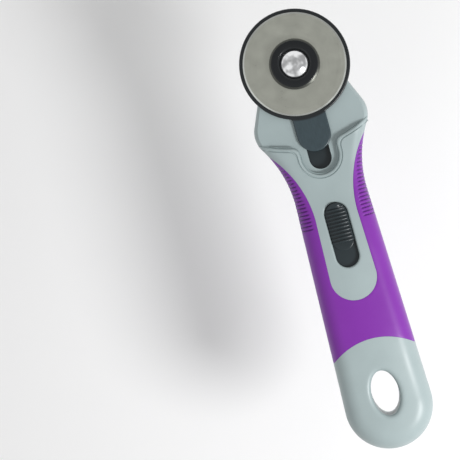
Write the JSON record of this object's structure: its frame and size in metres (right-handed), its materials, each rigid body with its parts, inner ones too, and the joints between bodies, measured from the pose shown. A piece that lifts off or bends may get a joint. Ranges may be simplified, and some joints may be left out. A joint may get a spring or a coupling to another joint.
{
  "type": "rotary cutter",
  "caption": "Hand-held rotary cutter with a round steel blade, a sliding blade guard worked by a ribbed thumb button, a soft grip and a hanging hole.",
  "frame": {"origin": "centre of the whole cutter in plan, on the surface it lies on, with the guard closed", "axes": "+X across the handle, +Y along the handle towards the blade, +Z out of the blade's face; the cutter lies on its back"},
  "size_m": [0.0506, 0.1974, 0.0229],
  "materials": {
    "handle_grey": "smooth moulded, satin",
    "grip_purple": "soft overmould, satin",
    "black_plastic": "satin",
    "guard_plastic": "satin",
    "washer_plastic": "semi-gloss",
    "blade_steel": "ground, satin with a bright edge",
    "bolt_chrome": "polished nickel plate",
    "screw_steel": "zinc plated",
    "spring_steel": "bright spring strip",
    "insert_brass": "machined"
  },
  "bodies": {
    "handle": {"front_shell": "handle_grey", "rear_shell": "handle_grey", "front_grip": "grip_purple", "rear_grip": "grip_purple", "shell_screws": "screw_steel", "blade_bolt": "bolt_chrome", "blade_washer": "washer_plastic", "slide_retainer": "black_plastic", "retainer_screws": "screw_steel"},
    "guard": {"blade_guard": "guard_plastic", "slide_bar": "black_plastic", "thumb_button": "black_plastic", "detent_spring": "spring_steel"},
    "blade": {"blade": "blade_steel"},
    "washer_stack": {"spring_washer": "spring_steel", "flat_washer": "screw_steel"},
    "nut": {"clamp_nut": "black_plastic", "nut_insert": "insert_brass"}
  },
  "joints": [
    {"name": "guard_slide", "type": "slide", "parent": "handle", "child": "guard", "axis": [0, -1, 0], "range_m": [0, 0.007], "deforming": ["detent_spring"]},
    {"name": "blade_spin", "type": "hinge", "parent": "handle", "child": "blade", "pos_m": [0, 0.0746, 0.01835], "axis": [0, 0, 1], "continuous": true},
    {"name": "washer_back_off", "type": "slide", "parent": "handle", "child": "washer_stack", "axis": [0, 0, -1], "range_m": [0, 0.006]},
    {"name": "nut_turn", "type": "hinge", "parent": "washer_stack", "child": "nut", "pos_m": [0, 0.0746, 0.0035], "axis": [0, 0, 1], "range_deg": [0, 2161]}
  ],
  "couplings": [
    {"joint": "nut_turn", "follows": "washer_back_off", "rad_per_m": 6283.2}
  ]
}
